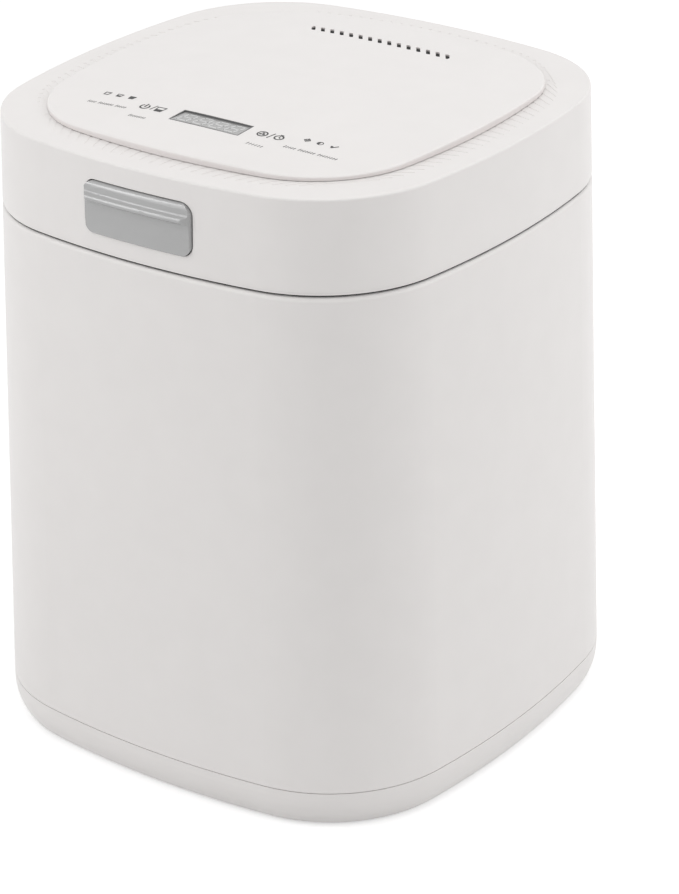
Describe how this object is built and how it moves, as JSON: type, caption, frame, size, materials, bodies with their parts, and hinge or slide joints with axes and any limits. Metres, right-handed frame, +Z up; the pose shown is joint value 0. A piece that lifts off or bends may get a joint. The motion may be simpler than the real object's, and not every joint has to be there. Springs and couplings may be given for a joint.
{
  "type": "electric food waste composter",
  "caption": "Countertop electric food waste composter: rounded-square bin with a hinged latched lid, display panel, heated chamber, lift-out bucket and geared stirrer.",
  "frame": {"origin": "on the floor under the middle of the casing", "axes": "+Z up, the latch and display side faces -Y, +X to the right when facing the latch"},
  "size_m": [0.253, 0.253, 0.315],
  "materials": {
    "warm_white_plastic": "satin",
    "latch_grey_plastic": "satin",
    "dark_grey_plastic": "matte",
    "black_plastic": "matte",
    "black_rubber": "matte",
    "screw_steel": "satin",
    "sheet_steel": "satin",
    "bucket_coating": "satin",
    "blade_steel": "satin",
    "cast_aluminium": "cast",
    "gear_nylon": "satin",
    "bush_bronze": "satin",
    "board_green": "satin",
    "display_grey": "gloss"
  },
  "bodies": {
    "body": {"base_pan": "warm_white_plastic", "rubber_feet": "black_rubber", "base_screws": "screw_steel", "body_shell": "warm_white_plastic", "deck_ring": "warm_white_plastic", "power_inlet": "black_plastic", "inlet_pins": "screw_steel", "chamber_liner": "sheet_steel", "deck_screws": "screw_steel", "shaft_seal": "black_rubber", "heater_plate": "cast_aluminium", "thermal_cutout": "black_plastic", "gearbox_housing": "cast_aluminium", "gearbox_cover": "cast_aluminium", "frame_screws": "screw_steel", "lower_bush": "bush_bronze", "upper_bush": "bush_bronze", "idler_pin": "screw_steel", "motor_can": "sheet_steel", "motor_screws": "screw_steel", "power_board": "board_green", "catch_spring": "sheet_steel", "lid_sensor": "black_plastic", "body_hinge": "warm_white_plastic", "hinge_screws": "screw_steel", "hinge_pin": "screw_steel"},
    "lid": {"lid_ring": "warm_white_plastic", "top_panel": "warm_white_plastic", "display_lens": "display_grey", "display_module": "dark_grey_plastic", "control_board": "board_green", "touch_pads": "black_rubber", "inner_lid": "dark_grey_plastic", "filter_well": "dark_grey_plastic", "lid_gasket": "black_rubber", "filter_cover": "dark_grey_plastic", "filter_cassette": "black_plastic", "lid_screws": "screw_steel", "sensor_magnet": "screw_steel", "fan_housing": "dark_grey_plastic", "lid_hinge": "warm_white_plastic", "latch_bezel": "dark_grey_plastic", "latch_pin": "screw_steel", "latch_spring": "sheet_steel"},
    "latch": {"latch_key": "latch_grey_plastic", "latch_hook": "sheet_steel"},
    "bucket": {"bucket": "bucket_coating", "bucket_grips": "black_plastic", "fixed_blades": "blade_steel", "bucket_bush": "bush_bronze"},
    "rotor": {"rotor_shaft": "screw_steel", "rotor_dog": "blade_steel", "stirrer": "blade_steel"},
    "output": {"output_shaft": "screw_steel", "output_gear": "gear_nylon", "drive_dog": "blade_steel"},
    "idler": {"compound_gear": "gear_nylon"},
    "motor_rotor": {"motor_shaft": "screw_steel", "motor_pinion": "gear_nylon"},
    "fan": {"fan_wheel": "dark_grey_plastic"}
  },
  "joints": [
    {"name": "lid_hinge", "type": "hinge", "parent": "body", "child": "lid", "pos_m": [0, 0.119, 0.2633], "axis": [-1, 0, 0], "range_deg": [0, 88], "deforming": ["catch_spring"]},
    {"name": "latch_pull", "type": "hinge", "parent": "lid", "child": "latch", "pos_m": [0, -0.11426, 0.29355], "axis": [-1, 0, 0], "range_deg": [0, 4], "stiffness_Nm_per_rad": 0.5, "springref_deg": -5.73, "deforming": ["latch_spring"]},
    {"name": "bucket_lift", "type": "slide", "parent": "body", "child": "bucket", "axis": [0, 0, 1], "range_m": [0, 0.009]},
    {"name": "output_spin", "type": "hinge", "parent": "body", "child": "output", "pos_m": [0, 0, 0.08], "axis": [0, 0, 1], "continuous": true},
    {"name": "rotor_spin", "type": "hinge", "parent": "bucket", "child": "rotor", "pos_m": [0, 0, 0.12], "axis": [0, 0, 1], "continuous": true},
    {"name": "idler_spin", "type": "hinge", "parent": "body", "child": "idler", "pos_m": [0.045, 0, 0.075], "axis": [0, 0, 1], "continuous": true},
    {"name": "motor_spin", "type": "hinge", "parent": "body", "child": "motor_rotor", "pos_m": [0.045, -0.036, 0.07], "axis": [0, 0, 1], "continuous": true},
    {"name": "fan_spin", "type": "hinge", "parent": "lid", "child": "fan", "pos_m": [0, 0.083, 0.288], "axis": [0, 0, 1], "continuous": true}
  ],
  "couplings": [
    {"joint": "rotor_spin", "follows": "output_spin", "ratio": 1},
    {"joint": "idler_spin", "follows": "output_spin", "ratio": -3},
    {"joint": "motor_spin", "follows": "output_spin", "ratio": 9}
  ]
}
